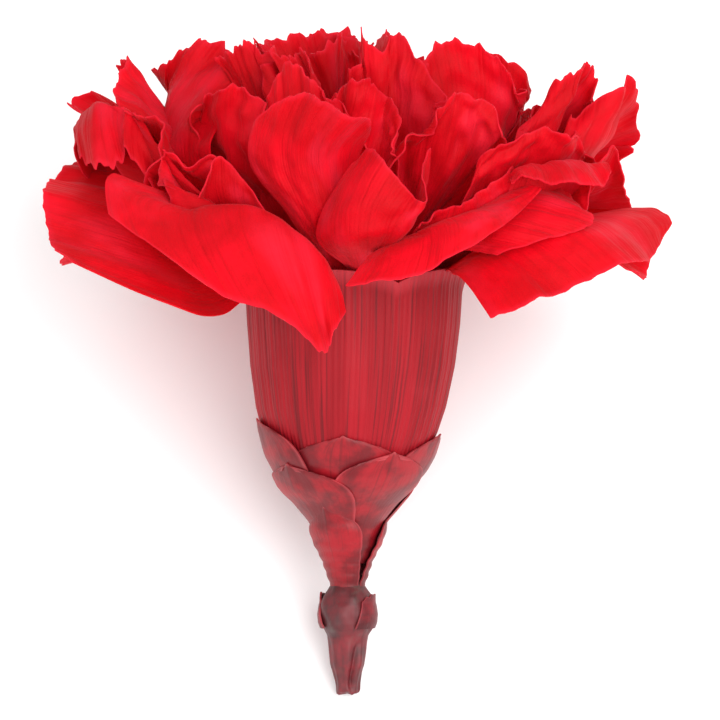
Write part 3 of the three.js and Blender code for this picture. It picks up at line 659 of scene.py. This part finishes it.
def ruffled(points, v, across, index, columns, rows):
    draw = random.Random(100 + index)
    table = points.reshape(rows, columns, 3)
    normal = np.cross(np.gradient(table, axis=1), np.gradient(table, axis=0)).reshape(-1, 3)
    normal /= np.linalg.norm(normal, axis=1, keepdims=True) + 1e-9
    height = np.zeros(len(points))
    calm = 0.55 if index in SMOOTH_EDGED else 1
    calm *= 1 + 0.9 * smooth(index / PETALS, 0.3, 0.7)
    for size, low, high, power in ((0.5, 1.2, 2.2, 1.6), (0.18, 3.5, 6.5, 2.5), (0.06, 9, 15, 3)):
        count = draw.uniform(low, high)
        phase = draw.uniform(0, 2 * math.pi)
        drift = draw.uniform(-2.5, 2.5)
        height += size * np.sin(2 * math.pi * count * across + phase + drift * v) * v**power
    for _ in range(5):  # creases that run out along the veins
        middle = draw.uniform(0.05, 0.95) + draw.uniform(-0.3, 0.3) * v
        width = draw.uniform(0.03, 0.1)
        depth = draw.uniform(-0.5, 0.5)
        height += depth * np.exp(-np.abs(across - middle) / width) * v**1.5
    for middle, width, depth in FOLDS.get(index, ()):
        height += depth / calm * np.exp(-(((across - middle - 0.1 * (v - 1)) / width) ** 2)) * v**1.5
    for _ in range(7):  # the fine crumpling of dried skin
        waves = draw.uniform(-7, 7) * across + draw.uniform(2, 7) * v + draw.random()
        height += 0.035 * np.sin(2 * math.pi * waves) * np.minimum(1, 2 * v)
    return points + calm * height[:, None] * normal


def make_petal(index, columns=84, rows=64):
    name = f"petal_{index + 1:02d}"
    obj, across, along = grid(f"{name}_fine", columns, rows)
    points, v = petal_points(index, across, along)
    points = ruffled(points, v, across, index, columns, rows)
    place(obj, laid(pressed(points)))
    finish_sheet(obj, PETAL_THICKNESS, [name], PETAL_FINISH)
    return obj


petals = [make_petal(index) for index in range(PETALS)]
print(len(petals), "petals of", len(petals[0].data.polygons), "faces")

# %% [markdown]
# ## The calyx
# Five sepals grow together into a cup, and only their rounded tips stay free at the rim. It is
# a grid rolled into a tube, with its seam merged. Every strand in the sepals shows as a low
# rib, so the fine ribs are real and run with the cup, and a slow swell marks the five sepals.

# %% Calyx
CORE = (
    (10.3, 1.3), (13, 1.4), (15.2, 1.75), (16.9, 2.5), (18.8, 4.0), (20.3, 5.6), (21.7, 6.7), (23.3, 7.6),
    (25.6, 8.5), (28, 9.2), (32, 9.9), (36, 10.3), (41, 10.6), (45, 10.9),
)
CALYX_FOOT = 15.4
CALYX_RIM = 40.2
LOBES = 5
LOBE_HEIGHT = 1.3
LOBE_AZIMUTH = -31


def core_radius(z):
    heights, radii = zip(*CORE)
    return np.interp(z, heights, radii)


def axis_x(z):
    """The flower leans a little to one side as it rises."""
    return HEAD[0] * smooth(z, 14, HEAD[2])


def lobe_drop(azimuth):
    turns = (azimuth - math.radians(LOBE_AZIMUTH)) * LOBES / (2 * math.pi)
    from_tip = 2 * np.abs(turns - np.round(turns))
    return 2 * LOBE_HEIGHT * (np.sqrt(1 - 0.75 * from_tip**2) - 1)


def make_calyx():
    columns, rows = 721, 70
    obj, across, along = grid("calyx_fine", columns, rows)
    azimuth = across * 2 * math.pi
    rim = CALYX_RIM + LOBE_HEIGHT + lobe_drop(azimuth)
    z = mix(CALYX_FOOT, rim, along)
    uneven = np.sin(23 * azimuth + 2) + np.sin(57 * azimuth + 1)
    swell = 0.12 * np.cos(LOBES * (azimuth - math.radians(LOBE_AZIMUTH)))
    ribs = 0.03 * np.sin(110 * azimuth) + 0.02 * uneven + swell
    r = core_radius(z) + ribs * smooth(z, 17, 22) - 0.05 + 0.3 * smooth(along, 0.93, 1)
    place(obj, laid(np.stack([axis_x(z) + r * np.cos(azimuth), r * np.sin(azimuth), z], axis=1)))
    select_only(obj)
    bpy.ops.object.mode_set(mode="EDIT")
    bpy.ops.mesh.select_all(action="SELECT")
    bpy.ops.mesh.remove_doubles(threshold=1e-6)
    bpy.ops.object.mode_set(mode="OBJECT")
    apply(obj, "SOLIDIFY", thickness=CALYX_THICKNESS * MM, offset=-1, use_even_offset=False)
    select_only(obj)
    bpy.ops.object.shade_smooth_by_angle(angle=math.radians(SHEET_CREASE))
    finish_piece(obj, ["calyx"], CALYX_FINISH)
    return obj


def calyx_finish():
    finish = Finish("calyx_crimson")
    across, along = finish.across_along()
    strands = finish.noise(finish.uv(190, 1.3), 1.0, detail=2, roughness=0.5)
    wide = finish.noise(finish.uv(26, 1.1), 1.0, detail=2)
    patches = finish.noise(finish.solid(), 160, detail=3)
    colour = finish.mix(finish.band(wide, 0.35, 0.7), rgb(150, 14, 27), rgb(130, 10, 21))
    colour = finish.mix(finish.band(strands, 0.5, 0.66) * 0.6, colour, rgb(74, 16, 20))
    colour = finish.mix(finish.band(patches, 0.52, 0.75) * 0.3, colour, rgb(160, 34, 44))
    colour = finish.mix(finish.band(along, 0.93, 1.0) * 0.5, colour, rgb(196, 60, 70))
    height = strands * 0.6 + finish.noise(finish.solid(), 1500, detail=2) * 0.25
    rough = finish.band(wide, 0.2, 0.8) * 0.12 + 0.5
    finish.set(Base_Color=colour, Roughness=rough, Normal=finish.bump(height, 0.0001, 0.7))
    finish.set(Specular_IOR_Level=0.18)
    return finish.material


CALYX_FINISH = calyx_finish()
calyx = make_calyx()
print("calyx of", len(calyx.data.polygons), "faces")

# %% [markdown]
# ## Scale leaves
# Around the calyx's foot, scale leaves sit in pairs, each pair crossing the one above it and
# lying over it. A scale clasps the foot, is widest at its middle and ends in a blunt point. It
# is a grid laid on the calyx's own profile, one layer further out for each pair beneath it.

# %% Scale leaves and leaf stubs
SCALES = (
    # azimuth, base, tip, half turn, layer
    (-118, 10.1, 18.4, 54, 4), (22, 10.1, 17.8, 54, 4),
    (-138, 11.9, 22.6, 58, 3), (50, 11.9, 21.8, 50, 3),
    (-60, 12.9, 23.8, 47, 2), (118, 12.9, 23.5, 47, 2),
    (-166, 13.9, 26.8, 46, 1), (-16, 13.9, 25.3, 44, 1),
    (-95, 14.9, 25.4, 50, 0), (82, 14.9, 25.6, 50, 0),
)
SCALE_BASES = (14.9, 13.9, 12.9, 11.9, 10.9)
LAYER = 0.3


def layer_offset(layer, z, v):
    beneath = sum((smooth(z, base - 1.0, base - 0.2) for base in SCALE_BASES[:layer]), np.zeros_like(z))
    lifted = (0.3 + LAYER * beneath) * (1 - 0.4 * smooth(v, 0.7, 1))
    return lifted + 0.06 * layer * smooth(v, 0.4, 0.8)


def make_scale(number, azimuth, base, tip, half_turn, layer):
    name = f"bract_{number}"
    draw = random.Random(500 + number)
    obj, across, along = grid(f"{name}_fine", 40, 40)
    u = 2 * across - 1
    v = along
    width = mix(1.25, 1, np.minimum(1, v / 0.5)) * np.sqrt(1 - 0.985 * v**6)
    spike = 0.18 * np.maximum(0, 1 - 4 * np.abs(u)) * v**6
    z = mix(base, tip, v) + spike - 0.6 * u * u * v**2
    turn = math.radians(azimuth) + u * np.radians(half_turn) * width
    keel = 0.12 * np.exp(-((u / 0.12) ** 2)) * (v - 0.3)
    wave = 0.07 * np.sin(3 * u + draw.uniform(0, 6) + 4 * v) * v + keel
    r = core_radius(z) + layer_offset(layer, z, v) + wave
    place(obj, laid(np.stack([axis_x(z) + r * np.cos(turn), r * np.sin(turn), z], axis=1)))
    finish_sheet(obj, SCALE_THICKNESS, [name], SCALE_FINISH)
    return obj


def scale_finish(name, dark, light, lines_and_shade):
    finish = Finish(name)
    across, along = finish.across_along()
    strands = finish.noise(finish.uv(26, 1.5), 1.0, detail=3)
    patches = finish.noise(finish.solid(), 330, detail=4, roughness=0.6)
    colour = finish.mix(finish.band(patches, 0.38, 0.64), dark, light)
    # the same dark colour also draws the fine lengthwise strands
    colour = finish.mix(finish.band(strands, 0.52, 0.7) * 0.4, colour, lines_and_shade)
    # painted shade: darker towards the base, where the scale or stub tucks in under and against the parts
    # around it
    colour = finish.mix((1 - finish.band(along, 0.0, 0.4)) * 0.35, colour, lines_and_shade)
    rim = finish.band((across - 0.5).absolute(), 0.46, 0.5) + finish.band(along, 0.965, 1)
    colour = finish.mix(rim.clamped() * 0.3, colour, rgb(196, 80, 86))
    height = strands * 0.5 + finish.noise(finish.solid(), 1300, detail=3) * 0.5
    finish.set(Base_Color=colour, Roughness=patches * 0.2 + 0.34, Normal=finish.bump(height, 0.00012, 0.6))
    finish.set(Specular_IOR_Level=0.3)
    return finish.material


SCALE_FINISH = scale_finish("scale_crimson", rgb(104, 14, 22), rgb(148, 16, 28), rgb(70, 18, 20))
LEAF_FINISH = scale_finish("leaf_crimson", rgb(78, 13, 20), rgb(120, 15, 27), rgb(58, 22, 24))
scales = [make_scale(n + 1, *row) for n, row in enumerate(SCALES)]

STEM = (
    (0, 1.1), (1.2, 1.15), (2.4, 1.4), (3, 1.6), (4.2, 1.75), (5.2, 1.85), (5.9, 2.0), (6.4, 2.35),
    (7.1, 2.65), (7.9, 2.75), (8.8, 2.65), (9.6, 2.35), (10.2, 2.0), (10.8, 1.6), (12, 1.3), (14.9, 1.3),
)
LEAF_STUBS = ((-18, 9.9, 56), (150, 10, 60))


def make_stub(number, azimuth, top, half_turn):
    name = f"leaf_stub_{number}"
    draw = random.Random(700 + number)
    obj, across, along = grid(f"{name}_fine", 30, 24)
    u = 2 * across - 1
    heights, radii = zip(*STEM)
    ragged = along**3 * sum(0.09 * np.sin(k * u + draw.uniform(0, 6)) for k in (4, 9, 17))
    z = mix(6.6, top, along) + ragged - 0.8 * u * u * along
    turn = math.radians(azimuth) + u * math.radians(half_turn) * (1 - 0.3 * along)
    r = np.interp(np.minimum(z, 9), heights, radii) + 0.16 - 0.1 * along
    place(obj, laid(np.stack([r * np.cos(turn), r * np.sin(turn), z], axis=1)))
    finish_sheet(obj, SCALE_THICKNESS, [name], LEAF_FINISH)
    return obj


stubs = [make_stub(n + 1, *row) for n, row in enumerate(LEAF_STUBS)]
print(len(scales), "scale leaves and", len(stubs), "leaf stubs")

# %% [markdown]
# ## The stem
# The stem is drawn up from a circle, ring by ring, each ring scaled to the stem's own
# thickness: a ragged cut end, a ribbed length, the swollen node, and the part the scales hide.
# Then its points are nudged in code into ribs, dents and a torn end, and it is turned down.

# %% Stem
def drawn_up(name, profile, sides, steps):
    """A closed round piece: a circle drawn up ring by ring to each radius of the profile."""
    bpy.ops.object.select_all(action="DESELECT")
    bpy.ops.mesh.primitive_circle_add(
        vertices=sides, radius=profile[0][1], fill_type="NGON", location=(0, 0, profile[0][0])
    )
    bpy.ops.object.transform_apply(location=True)
    obj = bpy.context.object
    obj.name = obj.data.name = name
    bpy.ops.object.mode_set(mode="EDIT")
    bpy.ops.mesh.select_all(action="SELECT")
    for (z0, r0), (z1, r1) in zip(profile, profile[1:]):
        for step in range(1, steps + 1):
            rise = (z1 - z0) / steps
            factor = mix(r0, r1, step / steps) / mix(r0, r1, (step - 1) / steps)
            bpy.ops.mesh.extrude_region_move(TRANSFORM_OT_translate={"value": (0, 0, rise)})
            bpy.ops.transform.resize(value=(factor, factor, 1), center_override=(0, 0, 0))
    bpy.ops.mesh.select_all(action="SELECT")
    bpy.ops.mesh.normals_make_consistent(inside=False)
    bpy.ops.object.mode_set(mode="OBJECT")
    return obj


def make_stem():
    obj = drawn_up("stem_fine", STEM, 64, 3)
    points = points_of(obj)
    azimuth = np.arctan2(points[:, 1], points[:, 0])
    z = points[:, 2].copy()
    knob = smooth(z, 5.6, 7) * (1 - smooth(z, 9.4, 10.4))
    rough = sum(
        size * np.sin(k * azimuth + phase + bend * z)
        for size, k, phase, bend in ((0.05, 3, 1, 0.9), (0.05, 5, 2, -1.3), (0.03, 9, 0, 2.1))
    )
    lower = 1 - smooth(z, 4.8, 6.2)
    ribs = 0.06 * np.cos(8 * azimuth) * lower + rough * (0.5 + 1.2 * knob)
    off_front = np.arctan2(np.sin(azimuth + 1.45 - 0.1 * z), np.cos(azimuth + 1.45 - 0.1 * z))
    groove = -0.42 * np.exp(-((off_front / 0.22) ** 2)) * lower * smooth(z, 0.2, 1.5)
    dent = groove - 0.16 * np.exp(-(((z - 6.6) / 0.5) ** 2)) * np.cos(2 * azimuth + 1)
    reach = np.hypot(points[:, 0], points[:, 1])
    grow = 1 + (ribs + dent) / np.maximum(reach, 0.5)
    points[:, 0] *= grow
    points[:, 1] *= grow
    torn = 0.16 * np.sin(3 * azimuth + 1) + 0.12 * np.sin(7 * azimuth)
    points[:, 2] += np.where(z < 0.9, (torn + 0.2) * (1 - z / 0.9), 0) * (reach / CUT_END_RADIUS)
    place(obj, laid(points))
    apply(obj, "SUBSURF", levels=1, render_levels=1)
    select_only(obj)
    bpy.ops.object.shade_smooth_by_angle(angle=math.radians(60))
    finish_piece(obj, ["stem"], STEM_FINISH)
    return obj


def stem_finish():
    finish = Finish("stem_brown")
    where = finish.solid()
    patches = finish.noise(where, 260, detail=4, roughness=0.65)
    turn_up = {"vector_type": "TEXTURE"}
    lengthwise = {0: where, 2: (LEAN_BACK, 0, 0), 3: (1, 12, 1)}
    fibres = finish.noise(finish.node("ShaderNodeMapping", turn_up, lengthwise), 1500, detail=3)
    colour = finish.mix(finish.band(patches, 0.4, 0.62), rgb(76, 12, 18), rgb(116, 14, 26))
    grey = finish.noise(where, 420, detail=3, roughness=0.7)
    upwards = {0: where, 1: tuple(ALONG)}
    height_up = finish.node("ShaderNodeVectorMath", {"operation": "DOT_PRODUCT"}, upwards, output=1)
    foot = float(CUT_END @ ALONG)
    node = finish.band(height_up, foot + 5.2 * MM, foot + 6.6 * MM)
    colour = finish.mix(finish.band(grey, 0.55, 0.7) * (node * 0.6 + 0.2), colour, rgb(84, 62, 54))
    colour = finish.mix(node * 0.45, colour, rgb(66, 20, 24))
    colour = finish.mix(finish.band(fibres, 0.5, 0.7) * 0.45, colour, rgb(46, 16, 16))
    height = fibres * 0.6 + patches * 0.4
    finish.set(Base_Color=colour, Roughness=patches * 0.25 + 0.42, Normal=finish.bump(height, 0.0002, 0.6))
    return finish.material


STEM_FINISH = stem_finish()
stem = make_stem()
print("stem of", len(stem.data.polygons), "faces")

# %% [markdown]
# ## Inside the calyx
# The claws stand on the receptacle, round the ovary, and two slender styles rise from it among
# the petals. They are drawn up from circles in the same way, and the styles are bent apart.
# Nothing of them shows from outside, so a plain pale finish with a few specks is enough.

# %% Ovary and styles
OVARY = (
    (17.5, 0.8), (18.4, 1.8), (19.6, 2.9), (20.7, 4.1), (21, 4.4), (21.05, 1.5), (24, 1.75),
    (27.5, 1.6), (30, 1.1), (30.6, 0.8),
)
STYLE = ((30.9, 0.32), (39, 0.26), (47, 0.16))


def heart_finish():
    finish = Finish("heart_pink")
    specks = finish.noise(finish.solid(), 900, detail=3)
    colour = finish.mix(finish.band(specks, 0.45, 0.65), rgb(196, 96, 100), rgb(172, 66, 74))
    finish.set(Base_Color=colour, Roughness=specks * 0.2 + 0.5, Normal=finish.bump(specks, 0.0001, 0.5))
    return finish.material


def make_heart(name, profile, sides, side=0):
    obj = drawn_up(f"{name}_fine", profile, sides, 4)
    points = points_of(obj)
    share = (points[:, 2] - profile[0][0]) / (profile[-1][0] - profile[0][0])
    points[:, 0] += axis_x(points[:, 2]) + side * (0.42 + 0.55 * share**2)
    place(obj, laid(points))
    select_only(obj)
    bpy.ops.object.shade_smooth_by_angle(angle=math.radians(40))
    finish_piece(obj, [name], HEART_FINISH)
    return obj


HEART_FINISH = heart_finish()
ovary = make_heart("ovary", OVARY, 40)
styles = [make_heart(f"style_{n + 1}", STYLE, 12, side) for n, side in enumerate((-1, 1))]
print("ovary of", len(ovary.data.polygons), "faces and", len(styles), "styles")

# %% [markdown]
# ## The surface, the light and the camera
# The flower lies on a plain pale surface under wide soft lights, and the camera looks down on
# it square to its axis, which is how it shows its head, calyx and stem in one view.

# %% Stage
bpy.ops.object.select_all(action="DESELECT")
bpy.ops.mesh.primitive_plane_add(size=6, location=(0, 0, cad_bounds[0][2]))
floor = bpy.context.object
floor.name = "floor"
pale = Finish("pale_surface")
pale.set(Base_Color=(0.9, 0.9, 0.9, 1), Roughness=0.9)
floor.data.materials.append(pale.material)

world = bpy.data.worlds.new("soft_sky")
world.use_nodes = True
world.node_tree.nodes["Background"].inputs[0].default_value = (1, 1, 1, 1)
world.node_tree.nodes["Background"].inputs[1].default_value = 0.8
bpy.context.scene.world = world
bpy.context.scene.view_settings.view_transform = "Standard"


def soft_light(name, location, size, power, target=(0, 0, 0.02)):
    bpy.ops.object.light_add(type="AREA", location=location)
    light = bpy.context.object
    light.name = name
    light.data.size = size
    light.data.energy = power
    light.rotation_euler = (Vector(target) - Vector(location)).to_track_quat("-Z", "Y").to_euler()


soft_light("key", (0.32, -0.28, 0.7), 0.7, 7.6)
soft_light("fill", (-0.5, -0.4, 0.6), 0.8, 3)
print("a surface, a sky and two lights")

# %% Camera
ELEVATION = math.radians(62)
LENS = 500
SENSOR = 36
SEEN_WIDTH = 0.0696  # how wide a stretch the view takes in at the flower
middle = laid([1.2, 0, 32.5])
toward = Vector((0, -math.cos(ELEVATION), math.sin(ELEVATION)))
distance = SEEN_WIDTH * LENS / SENSOR
bpy.ops.object.camera_add(location=Vector(middle) + toward * distance)
camera = bpy.context.object
camera.data.lens = LENS
camera.data.sensor_width = SENSOR
camera.data.clip_start = 0.01
camera.rotation_euler = (-toward).to_track_quat("-Z", "Y").to_euler()
bpy.context.scene.camera = camera
print("camera", round(distance, 3), "m away, looking down", round(math.degrees(ELEVATION)), "degrees")
